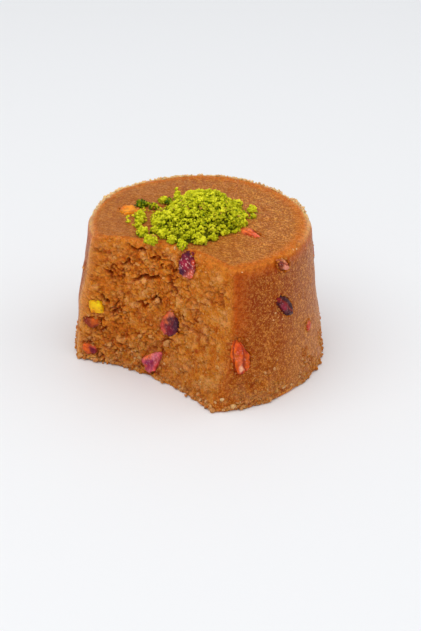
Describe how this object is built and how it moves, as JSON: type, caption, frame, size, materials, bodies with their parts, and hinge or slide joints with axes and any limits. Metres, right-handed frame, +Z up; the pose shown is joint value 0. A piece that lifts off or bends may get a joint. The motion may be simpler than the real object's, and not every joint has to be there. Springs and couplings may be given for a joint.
{
  "type": "semolina halva",
  "caption": "Tapered moulded block of semolina halva with a spoon cut in its front, pistachio kernels set in it and a mound of ground pistachio on top.",
  "frame": {"origin": "centre of the mould's round foot, on the plane that the halva rests on", "axes": "+Z up out of the rim, -Y out of the middle of the spoon cut, +X to the right as the cut is faced"},
  "size_m": [0.0838, 0.0732, 0.0563],
  "materials": {
    "halva": "buttery toasted semolina, fine grain, soft sheen, crumbly where cut",
    "ground_pistachio": "dry coarse crumbs of bright green nut",
    "kernel_purple_skin": "thin wrinkled dark purple skin, moist",
    "kernel_red_skin": "thin ridged red-brown skin, moist",
    "kernel_flesh": "bare yellow nut flesh, moist"
  },
  "bodies": {
    "root": {"halva_block": "halva", "ground_pistachio": "ground_pistachio", "kernel_cut_top": "kernel_purple_skin", "kernel_cut_middle": "kernel_purple_skin", "kernel_cut_low": "kernel_purple_skin", "kernel_cut_yellow": "kernel_flesh", "kernel_cut_brown": "kernel_red_skin", "kernel_cut_corner": "kernel_purple_skin", "kernel_wall_corner": "kernel_red_skin", "kernel_wall_dark": "kernel_purple_skin", "kernel_wall_small": "kernel_red_skin", "kernel_rim_pink": "kernel_red_skin", "kernel_back_dark": "kernel_purple_skin", "kernel_back_red": "kernel_red_skin", "kernel_back_yellow": "kernel_flesh", "kernel_back_purple": "kernel_purple_skin", "kernel_left_red": "kernel_red_skin", "kernel_left_dark": "kernel_purple_skin", "kernel_top_red": "kernel_red_skin", "kernel_top_orange": "kernel_flesh"}
  },
  "joints": []
}
